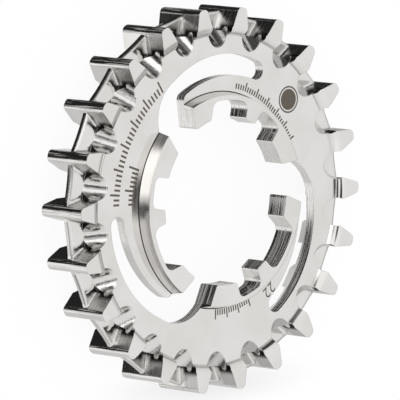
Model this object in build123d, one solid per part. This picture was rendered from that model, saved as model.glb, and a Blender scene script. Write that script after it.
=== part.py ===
from build123d import *
import os
from math import atan, cos, degrees, pi, radians, sin, tan

os.makedirs("parts", exist_ok=True)

# The sprocket lies flat. Its turning axis is +Z, tooth 1 points along +X,
# the back ends of the teeth are on z = 0 and the boss is on top.

# Belt teeth
tooth_count = 22
belt_pitch = 11.0
tooth_width = 11.1
pitch_line_height = 0.45
tooth_height = 4.87
tip_land = 2.04
flank_angle = 15.0
tip_corner = 1.0

pitch_radius = tooth_count * belt_pitch / (2 * pi)
tip_radius = pitch_radius - pitch_line_height
land_radius = tip_radius - tooth_height
tooth_step = 360 / tooth_count
root_half = tip_land / 2 + tooth_height * tan(radians(flank_angle))
gap_half_angle = tooth_step / 2 - degrees(atan(root_half / land_radius))

# Centre fin that guides the belt
fin_thickness = 1.5
fin_radius = 36.7
fin_scallop_radius = 45.0
fin_edge_break = 0.3

fin_back = (tooth_width - fin_thickness) / 2
fin_front = fin_back + fin_thickness

# Plate, set back from the front ends of the teeth
plate_recess = 1.5
plate_thickness = 2.1
recess_foot_radius = 32.45
recess_edge_radius = 34.8
hollow_plate_radius = 29.3
hollow_edge_radius = 34.2

plate_front = tooth_width - plate_recess
plate_back = plate_front - plate_thickness

# Mud ports, one on each side of the fin in every tooth gap
port_radius = 2.8
port_inner_radius = 29.95
port_slope = 45.0

# Boss that carries the splines
boss_height = 2.5
boss_foot_radius = 21.4
boss_top_radius = 20.85

boss_front = plate_front + boss_height

# Splines, in three like sets
arm_count = 3
spline_tip_radius = 16.6
spline_root_radius = 19.9
narrow_groove = (-11.7, 0.0, 6.1, 1.2)
wide_groove = (14.6, 2.86, 9.4, 1.6)
spline_tip_corner = 0.5

# Slots that free the arms. Points are given as a radius and an angle, counted
# from the slot's closed end.
slot_angle = 62.9
slot_outer_radius = 28.95
slot_inner_radius = 25.25
slot_outer_middle = (28.6, 28.0)
slot_turn_start = (26.9, 53.0)
slot_turn_middle = (25.8, 62.7)
slot_turn_end = (20.7, 76.0)
arm_root_inner = (15.5, 80.2)
arm_end_inner = (15.5, 58.8)
arm_end_outer = (22.85, 51.1)
arm_outer_middle = (24.25, 27.0)
arm_end_corner = 1.5
arm_root_corner = 0.6

# Room for a cutter to run past a face
overrun = 1.0
through = tooth_width + boss_height + 2 * overrun


def polar(radius, angle):
    return Vector(radius * cos(radians(angle)), radius * sin(radians(angle)))


def on_circle(items, radius, within=0.02):
    return [item for item in items if abs(Vector(item.X, item.Y).length - radius) < within]


def groove(angle, offset, width, corner):
    # A spline groove with parallel walls, set off from the axis by the offset.
    length = spline_root_radius + overrun
    bar = Pos(length / 2, offset) * Rectangle(length, width)
    shape = bar & Circle(spline_root_radius)
    return Rot(0, 0, angle) * fillet(on_circle(shape.vertices(), spline_root_radius), corner)


# Toothed blank
tip_half = tip_land / 2
tooth_foot = land_radius - overrun
foot_half = tip_half + (tip_radius - tooth_foot) * tan(radians(flank_angle))
tooth_outline = Polyline(
    (tooth_foot, -foot_half),
    (tip_radius, -tip_half),
    (tip_radius, tip_half),
    (tooth_foot, foot_half),
    close=True,
)
tooth = make_face(tooth_outline)
tip_reach = Vector(tip_radius, tip_half).length
tooth = fillet(on_circle(tooth.vertices(), tip_reach), tip_corner)

toothed = Rot(0, 0, tooth_step / 2) * RegularPolygon(land_radius, tooth_count, major_radius=False)
for number in range(tooth_count):
    toothed += Rot(0, 0, number * tooth_step) * tooth
body = extrude(toothed, amount=tooth_width)

# Fin, scalloped between the teeth
fin = Circle(fin_radius + overrun)
for number in range(tooth_count):
    middle = (number + 0.5) * tooth_step
    fin -= Rot(0, 0, middle) * Pos(fin_radius + fin_scallop_radius, 0) * Circle(fin_scallop_radius)
fin = extrude(Pos(0, 0, fin_back) * fin, amount=fin_thickness)
rim_edges = fin.edges().filter_by_position(Axis.Z, fin_back, fin_back)
rim_edges += fin.edges().filter_by_position(Axis.Z, fin_front, fin_front)
body += chamfer(rim_edges, fin_edge_break)

# Recess in front of the plate, with a concave wall up to the tooth faces
recess_width = recess_edge_radius - recess_foot_radius
recess_wall_radius = (recess_width**2 + plate_recess**2) / (2 * plate_recess)
recess_floor = Polyline(
    (recess_edge_radius, tooth_width),
    (recess_edge_radius, tooth_width + overrun),
    (0, tooth_width + overrun),
    (0, plate_front),
    (recess_foot_radius, plate_front),
)
recess_wall = RadiusArc(
    (recess_foot_radius, plate_front),
    (recess_edge_radius, tooth_width),
    recess_wall_radius,
)
body -= revolve(Plane.XZ * make_face([recess_floor, recess_wall]), Axis.Z)

# Hollow behind the plate, widening towards the back
hollow_slope = (hollow_edge_radius - hollow_plate_radius) / plate_back
hollow_outline = make_face(Polyline(
    (0, plate_back),
    (hollow_plate_radius, plate_back),
    (hollow_edge_radius + overrun * hollow_slope, -overrun),
    (0, -overrun),
    close=True,
))
body -= revolve(Plane.XZ * hollow_outline, Axis.Z)

# Boss
boss_section = make_face(Polyline(
    (0, plate_back),
    (boss_foot_radius, plate_back),
    (boss_foot_radius, plate_front),
    (boss_top_radius, boss_front),
    (0, boss_front),
    close=True,
))
body += revolve(Plane.XZ * boss_section, Axis.Z)

# Bore, grooves and slots are one opening
opening = Circle(spline_tip_radius)
for number in range(arm_count):
    turn = number * 360 / arm_count + slot_angle
    for angle, offset, width, corner in (narrow_groove, wide_groove):
        opening += groove(angle + turn, offset, width, corner)

slot_middle_radius = (slot_outer_radius + slot_inner_radius) / 2
slot_half_width = (slot_outer_radius - slot_inner_radius) / 2
end_turn = degrees(slot_half_width / slot_middle_radius)
slot_outer_start = polar(slot_outer_radius, end_turn)
slot_inner_start = polar(slot_inner_radius, end_turn)
slot_outline = [
    ThreePointArc(slot_outer_start, polar(*slot_outer_middle), polar(*slot_turn_start)),
    ThreePointArc(polar(*slot_turn_start), polar(*slot_turn_middle), polar(*slot_turn_end)),
    Polyline(polar(*slot_turn_end), polar(*arm_root_inner), polar(*arm_end_inner), polar(*arm_end_outer)),
    ThreePointArc(polar(*arm_end_outer), polar(*arm_outer_middle), slot_inner_start),
    ThreePointArc(slot_inner_start, polar(slot_middle_radius, 0), slot_outer_start),
]
slot = make_face(slot_outline)
slot = fillet(on_circle(slot.vertices(), arm_end_outer[0]), arm_end_corner)
slot = fillet(on_circle(slot.vertices(), slot_turn_end[0]), arm_root_corner)

for number in range(arm_count):
    turn = number * 360 / arm_count + slot_angle
    opening += Rot(0, 0, turn) * slot
opening = fillet(on_circle(opening.vertices(), spline_tip_radius), spline_tip_corner)
body -= extrude(opening, amount=through)

# Mud ports. The front ones are round channels that start at the fin.
port_axis_radius = port_inner_radius + port_radius / cos(radians(port_slope))
port_length = 6 * port_radius
port_axis = Pos(port_axis_radius, 0, plate_front) * Rot(0, -port_slope, 0)
in_front_of_fin = Pos(0, 0, fin_front + through / 2) * Box(4 * tip_radius, 4 * tip_radius, through)
front_port = (port_axis * Cylinder(port_radius, port_length)) & in_front_of_fin
gap = make_face(Polyline(
    polar(port_inner_radius, -gap_half_angle),
    polar(2 * tip_radius, -gap_half_angle),
    polar(2 * tip_radius, gap_half_angle),
    polar(port_inner_radius, gap_half_angle),
    close=True,
))
front_port += extrude(Pos(0, 0, plate_front) * gap, amount=through)

# The back ones slope down from the fin and leave the rim open between the teeth.
port_floor_end = land_radius - (fin_back + overrun) * tan(radians(port_slope))
back_side = make_face(Polyline(
    (land_radius, fin_back),
    (2 * tip_radius, fin_back),
    (2 * tip_radius, -overrun),
    (port_floor_end, -overrun),
    close=True,
))
back_port = extrude(Plane.XZ * back_side, amount=tip_radius, both=True)
back_port &= extrude(Pos(0, 0, -overrun) * gap, amount=through)

ports = []
for number in range(tooth_count):
    middle = (number + 0.5) * tooth_step
    ports += [Rot(0, 0, middle) * front_port, Rot(0, 0, middle) * back_port]
body -= ports

sprocket = body.solid()
sprocket.label = "sprocket"
print(len(body.solids()), sprocket.is_valid, round(sprocket.volume), sprocket.bounding_box())
export_step(sprocket, "parts/sprocket.step")
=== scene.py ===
from math import cos, pi, radians, sin, tan

import bpy
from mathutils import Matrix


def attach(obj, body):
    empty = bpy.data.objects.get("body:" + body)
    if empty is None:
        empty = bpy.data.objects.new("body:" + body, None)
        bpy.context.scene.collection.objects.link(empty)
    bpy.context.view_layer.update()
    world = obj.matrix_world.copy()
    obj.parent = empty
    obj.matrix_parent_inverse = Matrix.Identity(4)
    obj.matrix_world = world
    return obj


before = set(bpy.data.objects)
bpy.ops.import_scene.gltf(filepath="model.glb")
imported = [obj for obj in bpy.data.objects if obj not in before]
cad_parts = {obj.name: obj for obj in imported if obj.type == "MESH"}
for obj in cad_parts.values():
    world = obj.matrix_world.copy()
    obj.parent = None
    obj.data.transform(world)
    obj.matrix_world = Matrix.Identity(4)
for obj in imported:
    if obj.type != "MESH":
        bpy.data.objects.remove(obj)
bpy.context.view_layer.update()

# View
# The sprocket lies flat with its boss up. The camera looks at it from well above
# one side, turned on its side, through a long lens as a product photographer's.
camera_data = bpy.data.cameras.new("camera")
camera_data.sensor_width = 36
camera_data.lens = 585
camera_data.clip_end = 20
camera = bpy.data.objects.new("camera", camera_data)
camera.location = (-0.88801, 0.13778, 0.91481)
camera.rotation_euler = (radians(-6.4007), radians(-44.2746), radians(0.2854))
bpy.context.scene.collection.objects.link(camera)
bpy.context.scene.camera = camera
bpy.context.scene.view_settings.view_transform = "Standard"

# Studio
# Bright steel is seen by what it mirrors: a pale tent with a grey band at table
# height, and round cards in it, white, grey and black. They are painted on the
# sky for reflections only. All other light is an even white.
white = (1.0, 1.0, 1.0, 1.0)
tent_bands = [
    # sine of the height, level
    (-1.0, 0.70),
    (-0.50, 0.70),
    (-0.35, 0.50),
    (0.05, 0.50),
    (0.25, 0.84),
    (0.55, 0.90),
    (1.0, 0.98),
]
tent_cards = [
    # azimuth, height, inner and outer angle in degrees, level. A later card covers
    # an earlier one.
    (155, 62, 28, 42, 1.10),
    (-18, 15, 13, 24, 0.50),
    (102, -45, 50, 55, 0.02),
    (125, -13, 13, 17, 0.08),
    (153, -13, 13, 17, 0.08),
    (-179, -13, 13, 17, 0.08),
    (-157, -13, 11, 16, 0.08),
    (-178, 77, 9, 14, 0.04),
    (88, 12, 22, 29, 0.06),
    (112, 28, 11, 17, 0.22),
    (-130, -14, 12, 22, 0.07),
    (172, 42, 9, 15, 0.55),
    (143, 21, 8, 15, 1.70),
    (163, 21, 8, 15, 1.70),
    (-173, 44, 7, 11, 0.06),
    (-171, 20, 6, 9, 0.08),
    (-152, -45, 14, 20, 1.05),
]


def add(finish, kind, settings=None, inputs=None):
    # Adds one node to a material or a sky, with its settings and its input values
    # or links. A node that is given as an input is linked by its first output.
    node = finish.node_tree.nodes.new(kind)
    for name, value in (settings or {}).items():
        setattr(node, name, value)
    for name, value in (inputs or {}).items():
        if isinstance(value, bpy.types.Node):
            value = value.outputs[0]
        if isinstance(value, bpy.types.NodeSocket):
            finish.node_tree.links.new(value, node.inputs[name])
        else:
            node.inputs[name].default_value = value
    return node


studio = bpy.data.worlds.new("studio")
bpy.context.scene.world = studio
studio.use_nodes = True
studio.node_tree.nodes.clear()
direction = add(studio, "ShaderNodeTexCoord").outputs["Generated"]
sine_up = add(studio, "ShaderNodeSeparateXYZ", {}, {0: direction}).outputs["Z"]
ramp_place = add(studio, "ShaderNodeMapRange", {}, {"Value": sine_up, "From Min": -1.0})
bands = add(studio, "ShaderNodeValToRGB", {}, {"Fac": ramp_place})
stops = bands.color_ramp.elements
for number, (sine, band_level) in enumerate(tent_bands):
    stop_place = (sine + 1) / 2
    stop = stops[number] if number < 2 else stops.new(stop_place)
    stop.position = stop_place
    stop.color = (band_level, band_level, band_level, 1.0)
level = bands.outputs["Color"]
for card_azimuth, card_height, inner_angle, outer_angle, card_level in tent_cards:
    towards_card = (
        cos(radians(card_height)) * cos(radians(card_azimuth)),
        cos(radians(card_height)) * sin(radians(card_azimuth)),
        sin(radians(card_height)),
    )
    nearness = add(studio, "ShaderNodeVectorMath", {"operation": "DOT_PRODUCT"}, {
        0: direction,
        1: towards_card,
    }).outputs["Value"]
    card = add(studio, "ShaderNodeMapRange", {"interpolation_type": "SMOOTHSTEP"}, {
        "Value": nearness,
        "From Min": cos(radians(outer_angle)),
        "From Max": cos(radians(inner_angle)),
    })
    level = add(studio, "ShaderNodeMix", {}, {0: card, 2: level, 3: card_level})

mirrored = add(studio, "ShaderNodeBackground", {}, {"Color": white, "Strength": level})
even = add(studio, "ShaderNodeBackground", {}, {"Color": white, "Strength": 1.0})
sky = add(studio, "ShaderNodeMixShader", {}, {
    0: add(studio, "ShaderNodeLightPath").outputs["Is Glossy Ray"],
    1: even,
    2: mirrored,
})
add(studio, "ShaderNodeOutputWorld", {}, {"Surface": sky})

# Floor
# White seamless paper, laid flat just under the part. Most of its white is its
# own, so that the part's shadow on it stays faint, and the soft shade along one
# side of the rim is painted on it.
mm = 0.001
half_sheet = 3000 * mm
paper_drop = 0.2 * mm
paper_own_white = 0.93
shade_centre = (7.0 * mm, -38.2 * mm, 0.0)
shade_reach = (36.0 * mm, 6.2 * mm, 1.0)
shade_depth = 0.14

floor_mesh = bpy.data.meshes.new("floor")
sheet_corners = [
    (-half_sheet, -half_sheet, 0),
    (half_sheet, -half_sheet, 0),
    (half_sheet, half_sheet, 0),
    (-half_sheet, half_sheet, 0),
]
floor_mesh.from_pydata(sheet_corners, [], [(0, 1, 2, 3)])
floor = bpy.data.objects.new("floor", floor_mesh)
bpy.context.scene.collection.objects.link(floor)
floor.location.z = -paper_drop
floor.visible_glossy = False

# Matt uncoated paper, which shows as a plain even white without gloss.
paper = bpy.data.materials.new("white_paper")
paper.use_nodes = True
paper.node_tree.nodes.clear()
from_shade = add(paper, "ShaderNodeVectorMath", {"operation": "SUBTRACT"}, {
    0: add(paper, "ShaderNodeTexCoord").outputs["Object"],
    1: shade_centre,
})
from_shade = add(paper, "ShaderNodeVectorMath", {"operation": "DIVIDE"}, {
    0: from_shade,
    1: shade_reach,
})
shade_distance = add(paper, "ShaderNodeVectorMath", {"operation": "LENGTH"}, {0: from_shade})
own_white = add(paper, "ShaderNodeMapRange", {"interpolation_type": "SMOOTHSTEP"}, {
    "Value": shade_distance.outputs["Value"],
    "To Min": paper_own_white - shade_depth,
    "To Max": paper_own_white,
})
own_light = add(paper, "ShaderNodeEmission", {}, {"Strength": own_white})
matt = add(paper, "ShaderNodeBsdfDiffuse", {}, {"Color": [1 - paper_own_white] * 3 + [1.0]})
paper_surface = add(paper, "ShaderNodeAddShader", {}, {0: own_light, 1: matt})
add(paper, "ShaderNodeOutputMaterial", {}, {"Surface": paper_surface})
floor_mesh.materials.append(paper)

# Sprocket
# One piece of stainless steel, turned and milled from a blank and then polished.
# Its edges are lightly broken, and the cutters left fine streaks on its walls.
tooth_count = 22
pitch_angle = 2 * pi / tooth_count
tip_radius = 38.06 * mm
tip_start = 37.3 * mm
tip_half_width = 1.02 * mm
flank_slope = tan(radians(15.0))
land_radius = 33.2 * mm
fin_radius = 36.7 * mm
fin_back = 4.8 * mm
fin_front = 6.3 * mm
fin_rim_start = 36.0 * mm
port_inner_radius = 29.95 * mm
plate_front = 9.6 * mm
boss_radius = 21.4 * mm
boss_wall_depth = 0.8 * mm
painted_foot_shade_half_width = 0.08 * mm

# Radii of the broken edges and fillets
edge_break = 0.13 * mm
fin_rounding = 0.90 * mm
boss_fillet = 0.22 * mm
fin_fillet = 1.10 * mm

# Cutters leave lines 0.05 to 0.1 mm apart, and the grain of the polish is finer
# still. That is too fine for the render, so both are drawn coarser.
streak_width = 0.22 * mm
streak_length = 12.0 * mm
tip_streak_length = 8.0 * mm
chatter_width = 0.45 * mm
grain_width = 0.15 * mm
mottle_width = 8.0 * mm
streak_depth = 0.05 * mm
chatter_depth = 0.02 * mm
grain_depth = 0.001 * mm

# A pattern comes up between these values of its noise: the usual range, and the
# higher ones at which only scratches are left
usual_noise = (0.3, 0.7)
scratch_noise = (0.47, 0.68)
inner_line_noise = (0.42, 0.62)
tip_line_noise = (0.55, 0.68)

bright_steel = ("#DFDDDA", "#E6E4E2")
# Painted shade colours, for the deep tooth gaps and the corner at the foot of the boss
painted_gap_shade_colour = "#1E1D1C"
painted_foot_shade_colour = "#2A2927"
gap_top_darkness = 0.32
polish_roughness = (0.08, 0.14)
scratch_roughness = 0.40
flank_roughness = 0.12
pale_line_strength = 0.40
port_streak_strength = 0.30

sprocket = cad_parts["sprocket"]


def linear(code):
    # Turns an sRGB hex colour into the linear values that a shader takes.
    channels = [int(code[start:start + 2], 16) / 255 for start in (1, 3, 5)]
    return [c / 12.92 if c <= 0.04045 else ((c + 0.055) / 1.055) ** 2.4 for c in channels] + [1.0]


def zone(*limits, within=(), without=()):
    # Marks a part of the steel's surface with 1, and the rest with 0. Each limit is
    # a measure, the value at which the zone ends and the one from which it is full.
    marks = [
        add(steel, "ShaderNodeMapRange", {"interpolation_type": "SMOOTHSTEP"}, {
            "Value": measure,
            "From Min": end,
            "From Max": full,
        })
        for measure, end, full in limits
    ]
    marks += within
    marks += [
        add(steel, "ShaderNodeMath", {"operation": "SUBTRACT"}, {0: 1.0, 1: other})
        for other in without
    ]
    whole = marks[0]
    for mark in marks[1:]:
        whole = add(steel, "ShaderNodeMath", {"operation": "MULTIPLY"}, {0: whole, 1: mark})
    return whole


# Polished stainless steel: the faces are a clear mirror, streaks scatter the light
# on the walls, and the tooth gaps, which the wheel doesn't reach, stay rougher and
# have painted shade.
steel = bpy.data.materials.new("polished_stainless_steel")
steel.use_nodes = True
steel.node_tree.nodes.clear()

# Measures of a point on the surface: its height and radius, how far the face looks
# up, and its distance from the middle of a tooth, from a flank and from the boss
place = add(steel, "ShaderNodeTexCoord").outputs["Object"]
axes = add(steel, "ShaderNodeSeparateXYZ", {}, {0: place}).outputs
height = axes["Z"]
across = add(steel, "ShaderNodeCombineXYZ", {}, {"X": axes["X"], "Y": axes["Y"]})
radius = add(steel, "ShaderNodeVectorMath", {"operation": "LENGTH"}, {0: across}).outputs["Value"]
facing = add(steel, "ShaderNodeNewGeometry").outputs["Normal"]
upward = add(steel, "ShaderNodeSeparateXYZ", {}, {0: facing}).outputs["Z"]
tilt = add(steel, "ShaderNodeMath", {"operation": "ABSOLUTE"}, {0: upward})
turn = add(steel, "ShaderNodeMath", {"operation": "ARCTAN2"}, {0: axes["Y"], 1: axes["X"]})
tooth_angle = add(steel, "ShaderNodeMath", {"operation": "PINGPONG"}, {
    0: turn,
    1: pitch_angle / 2,
})
tooth_arc = add(steel, "ShaderNodeMath", {"operation": "MULTIPLY"}, {0: tooth_angle, 1: radius})
half_tooth = add(steel, "ShaderNodeMath", {"operation": "MULTIPLY_ADD"}, {
    0: radius,
    1: -flank_slope,
    2: tip_half_width + tip_radius * flank_slope,
})
from_flank = add(steel, "ShaderNodeMath", {"operation": "SUBTRACT"}, {0: tooth_arc, 1: half_tooth})
from_flank = add(steel, "ShaderNodeMath", {"operation": "ABSOLUTE"}, {0: from_flank})
from_boss = add(steel, "ShaderNodeMath", {"operation": "SUBTRACT"}, {0: radius, 1: boss_radius})
from_boss = add(steel, "ShaderNodeMath", {"operation": "ABSOLUTE"}, {0: from_boss})

# Limits for the zones below, which fade over a soft width of 0.1 mm or a few of
# them. An upright wall looks up by 0, and a level face by 1.
soft = 0.1 * mm
corner_full = 1.0 * mm
corner_end = 1.6 * mm
beside_fin_full = 0.5 * mm
beside_fin_end = 1.5 * mm
above_land = (radius, land_radius + soft, land_radius + 8 * soft)
leaning = (upward, 0.03, 0.10)
not_level = (upward, 0.98, 0.95)
steep = (tilt, 0.5, 0.3)
beside_tooth = (tooth_angle, 0.17 * pitch_angle, 0.19 * pitch_angle)

# Zones of the surface
tip = zone((radius, tip_start - soft, tip_start + soft))
front = zone((height, fin_front - soft, fin_front + soft))
port_wall = add(steel, "ShaderNodeMath", {"operation": "MAXIMUM"}, {
    0: zone(leaning),
    1: zone((radius, land_radius - soft, land_radius - 2 * soft)),
})
port = zone(
    (radius, port_inner_radius - soft, port_inner_radius + soft),
    (height, plate_front - soft, plate_front - 2 * soft),
    not_level,
    within=(port_wall, front),
)
wall = zone(steep, without=(port,))
beside_fin = zone(
    above_land,
    (height, fin_front + beside_fin_end, fin_front + beside_fin_full),
    within=(front,),
)
flank = zone(
    (radius, land_radius - 6 * soft, land_radius + soft),
    within=(front, wall),
    without=(tip, beside_fin),
)
behind_fin = zone((radius, land_radius - 6 * soft, land_radius - soft), without=(front, tip))
fin_rim = zone(
    (height, fin_back - 2 * soft, fin_back - soft),
    (height, fin_front + 2 * soft, fin_front + soft),
    (radius, fin_rim_start, fin_rim_start + soft),
    beside_tooth,
)
fin_corner = zone(
    above_land,
    (radius, fin_radius + 3 * soft, fin_radius - soft),
    (from_flank, corner_end, corner_full),
    (height, fin_front + corner_end, fin_front + corner_full),
    (height, fin_front - 2 * soft, fin_front - soft),
)
boss_wall = zone(
    (from_boss, boss_wall_depth + soft, boss_wall_depth),
    (height, plate_front - 2 * soft, plate_front - soft),
)
# Painted shade: a fine dark line in the tight corner at the foot of the boss
painted_foot_shade = zone(
    (from_boss, 2 * painted_foot_shade_half_width, painted_foot_shade_half_width),
    (height, plate_front + 2 * soft, plate_front + soft),
    within=(boss_wall,),
)
inner_wall = zone(
    (radius, port_inner_radius - soft, port_inner_radius - 2 * soft),
    within=(wall,),
    without=(boss_wall,),
)

# Streaks run along the cut: round the walls, along the axis on the tips and down
# the slope in the ports.
round_walls = add(steel, "ShaderNodeVectorMath", {"operation": "MULTIPLY"}, {
    0: place,
    1: (1 / streak_length, 1 / streak_length, 1 / streak_width),
})
along_tips = add(steel, "ShaderNodeVectorMath", {"operation": "MULTIPLY"}, {
    0: place,
    1: (1 / streak_width, 1 / streak_width, 1 / tip_streak_length),
})
down_ports = add(steel, "ShaderNodeVectorMath", {"operation": "MULTIPLY"}, {
    0: add(steel, "ShaderNodeCombineXYZ", {}, {
        "X": tooth_arc,
        "Y": add(steel, "ShaderNodeMath", {"operation": "ADD"}, {0: radius, 1: height}),
        "Z": add(steel, "ShaderNodeMath", {"operation": "SUBTRACT"}, {0: radius, 1: height}),
    }),
    1: (1 / streak_width, 1 / streak_width, 1 / streak_length),
})
cut = round_walls
for cut_zone, cut_there in ((tip, along_tips), (port, down_ports)):
    cut = add(steel, "ShaderNodeMix", {"data_type": "VECTOR"}, {
        0: cut_zone,
        4: cut,
        5: cut_there,
    }).outputs[1]
streaks = add(steel, "ShaderNodeTexNoise", {}, {"Vector": cut, "Scale": 1.0, "Detail": 4.0})
grain, chatter, mottle = [
    add(steel, "ShaderNodeTexNoise", {}, {"Vector": place, "Scale": 1 / width, "Detail": detail})
    for width, detail in ((grain_width, 2.0), (chatter_width, 1.0), (mottle_width, 2.0))
]

# How strongly the streaks show: fully on the walls, less where the wheel or the
# end of the cutter smoothed them, and weakly in the ports
worked = wall
for smoother, removed in ((behind_fin, 0.85), (flank, 0.60), (boss_wall, 0.75)):
    left = add(steel, "ShaderNodeMath", {"operation": "MULTIPLY_ADD"}, {
        0: smoother,
        1: -removed,
        2: 1.0,
    })
    worked = add(steel, "ShaderNodeMath", {"operation": "MULTIPLY"}, {0: worked, 1: left})
in_ports = add(steel, "ShaderNodeMath", {"operation": "MULTIPLY"}, {
    0: port,
    1: port_streak_strength,
})
worked = add(steel, "ShaderNodeMath", {"operation": "MAXIMUM"}, {0: worked, 1: in_ports})
scratches = zone((streaks, *scratch_noise), within=(worked,))

roughness = add(steel, "ShaderNodeMapRange", {"interpolation_type": "SMOOTHSTEP"}, {
    "Value": grain,
    "From Min": usual_noise[0],
    "From Max": usual_noise[1],
    "To Min": polish_roughness[0],
    "To Max": polish_roughness[1],
})
for duller, extra in ((scratches, scratch_roughness), (flank, flank_roughness)):
    roughness = add(steel, "ShaderNodeMath", {"operation": "MULTIPLY_ADD"}, {
        0: duller,
        1: extra,
        2: roughness,
    })

# The deepest scratches on the inner walls and the tips scatter the light all
# round, as a pale matt surface does.
pale_lines = add(steel, "ShaderNodeMath", {"operation": "MAXIMUM"}, {
    0: zone((streaks, *inner_line_noise), within=(inner_wall,)),
    1: zone((streaks, *tip_line_noise), within=(tip,)),
})
metallic = add(steel, "ShaderNodeMath", {"operation": "MULTIPLY_ADD"}, {
    0: pale_lines,
    1: -pale_line_strength,
    2: 1.0,
})

# Painted shade: the flanks, which see little but each other, are painted darker
# towards the land, and the tight corner at the foot of the boss is painted as a
# fine dark line.
gap_depth = add(steel, "ShaderNodeMapRange", {"interpolation_type": "SMOOTHSTEP"}, {
    "Value": radius,
    "From Min": land_radius + 0.9 * mm,
    "From Max": land_radius + 2.0 * mm,
    "To Min": 1.0,
    "To Max": gap_top_darkness,
})
painted_gap_shade = zone(within=(flank, gap_depth))
tone = add(steel, "ShaderNodeMix", {"data_type": "RGBA"}, {
    0: zone((mottle, *usual_noise)),
    6: linear(bright_steel[0]),
    7: linear(bright_steel[1]),
}).outputs[2]
for dark, dark_colour in ((painted_gap_shade, painted_gap_shade_colour), (painted_foot_shade, painted_foot_shade_colour)):
    tone = add(steel, "ShaderNodeMix", {"data_type": "RGBA"}, {
        0: dark,
        6: tone,
        7: linear(dark_colour),
    }).outputs[2]

# Rounded edges, and over them the relief of the cut and the polish
rounding = edge_break
for rounded, rounded_by in (
    (fin_rim, fin_rounding),
    (boss_wall, boss_fillet),
    (fin_corner, fin_fillet),
):
    there = add(steel, "ShaderNodeMath", {"operation": "MULTIPLY"}, {0: rounded, 1: rounded_by})
    rounding = add(steel, "ShaderNodeMath", {"operation": "MAXIMUM"}, {0: rounding, 1: there})
normal = add(steel, "ShaderNodeBevel", {"samples": 8}, {"Radius": rounding})
streak_relief = zone(within=(streaks, worked))
chatter_relief = zone(within=(chatter, port))
for relief, depth in (
    (streak_relief, streak_depth),
    (chatter_relief, chatter_depth),
    (grain, grain_depth),
):
    normal = add(steel, "ShaderNodeBump", {}, {
        "Distance": depth,
        "Height": relief,
        "Normal": normal,
    })
steel_surface = add(steel, "ShaderNodeBsdfPrincipled", {}, {
    "Base Color": tone,
    "Metallic": metallic,
    "Roughness": roughness,
    "Normal": normal,
})
add(steel, "ShaderNodeOutputMaterial", {}, {"Surface": steel_surface})
for slot in sprocket.material_slots:
    slot.material = steel

# Marks
# Plain marks on the plate: scales of short strokes, a round dot in a ring and the
# tooth count. A laser etched them into the polished face, and they lie a hair
# above it here.
mark_level = plate_front + 0.01 * mm
scales = [
    # first and last azimuth, strokes, inner and outer radius and stroke width in mm
    (124, 178, 28, 26.6, 29.2, 0.42),
    (161, 178, 9, 22.5, 25.3, 0.42),
    (28, 77, 30, 22.2, 24.0, 0.36),
    (-91, -67, 16, 21.6, 23.6, 0.34),
]
long_stroke_every = 5
short_stroke = 0.6
dot_centre = (19.6 * mm, 18.6 * mm)
ring_outer = 2.7 * mm
ring_inner = 0.88 * ring_outer
dot_radius = 0.78 * ring_outer
dot_steps = 64
count_place = (14.4 * mm, -18.9 * mm, mark_level)
count_size = 3.2 * mm
count_turn = radians(-142.5)
burn_colours = ("#4E473F", "#7A7166")
burn_roughness = (0.45, 0.65)
burn_depth = 0.004 * mm


def on_plate(reach, azimuth, centre=(0.0, 0.0)):
    # A point on the plate, at a distance and direction from a centre.
    x, y = centre
    return (x + reach * cos(azimuth), y + reach * sin(azimuth), mark_level)


points = []
faces = []
for first, last, strokes, inner, outer, stroke_width in scales:
    short_end = inner + short_stroke * (outer - inner)
    for number in range(strokes):
        stroke_azimuth = radians(first + (last - first) * number / (strokes - 1))
        end = outer if number % long_stroke_every == 0 else short_end
        faces.append(tuple(range(len(points), len(points) + 4)))
        for reach, side in ((inner, -1), (end, -1), (end, 1), (inner, 1)):
            half_turn = stroke_width / 2 / reach
            points.append(on_plate(reach * mm, stroke_azimuth + side * half_turn))

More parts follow.
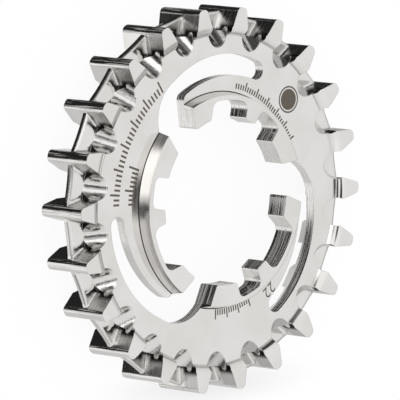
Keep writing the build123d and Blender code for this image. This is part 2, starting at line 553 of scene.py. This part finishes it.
dot_azimuths = [2 * pi * step / dot_steps for step in range(dot_steps)]
faces.append(tuple(range(len(points), len(points) + dot_steps)))
points += [on_plate(dot_radius, azimuth, dot_centre) for azimuth in dot_azimuths]
ring_start = len(points)
for step, azimuth in enumerate(dot_azimuths):
    here = ring_start + 2 * step
    following = ring_start + 2 * ((step + 1) % dot_steps)
    points += [on_plate(reach, azimuth, dot_centre) for reach in (ring_inner, ring_outer)]
    faces.append((here, here + 1, following + 1, following))

# Laser-etched steel: a brown, uneven burn that has lost the polish.
etching = bpy.data.materials.new("laser_etching")
etching.use_nodes = True
etching.node_tree.nodes.clear()
burn = add(etching, "ShaderNodeTexNoise", {}, {
    "Vector": add(etching, "ShaderNodeTexCoord").outputs["Object"],
    "Scale": 1 / grain_width,
    "Detail": 3.0,
})
burnt = add(etching, "ShaderNodeMapRange", {"interpolation_type": "SMOOTHSTEP"}, {
    "Value": burn,
    "From Min": usual_noise[0],
    "From Max": usual_noise[1],
})
etching_surface = add(etching, "ShaderNodeBsdfPrincipled", {}, {
    "Base Color": add(etching, "ShaderNodeMix", {"data_type": "RGBA"}, {
        0: burnt,
        6: linear(burn_colours[0]),
        7: linear(burn_colours[1]),
    }).outputs[2],
    "Metallic": 0.5,
    "Roughness": add(etching, "ShaderNodeMapRange", {}, {
        "Value": burnt,
        "To Min": burn_roughness[0],
        "To Max": burn_roughness[1],
    }),
    "Normal": add(etching, "ShaderNodeBump", {}, {"Distance": burn_depth, "Height": burn}),
})
add(etching, "ShaderNodeOutputMaterial", {}, {"Surface": etching_surface})

scale_mesh = bpy.data.meshes.new("etched_scales")
scale_mesh.from_pydata(points, [], faces)
scale_mesh.materials.append(etching)
scale_marks = bpy.data.objects.new("etched_scales", scale_mesh)
count_text = bpy.data.curves.new("etched_count", "FONT")
count_text.body = str(tooth_count)
count_text.size = count_size
count_text.align_x = "CENTER"
count_text.align_y = "CENTER"
count_text.materials.append(etching)
count_mark = bpy.data.objects.new("etched_count", count_text)
count_mark.location = count_place
count_mark.rotation_euler.z = count_turn
# The wall of the boss is too streaky to mirror marks this small, so they don't
# show in reflections.
for piece in (scale_marks, count_mark):
    bpy.context.scene.collection.objects.link(piece)
    piece.visible_glossy = False
    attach(piece, "root")
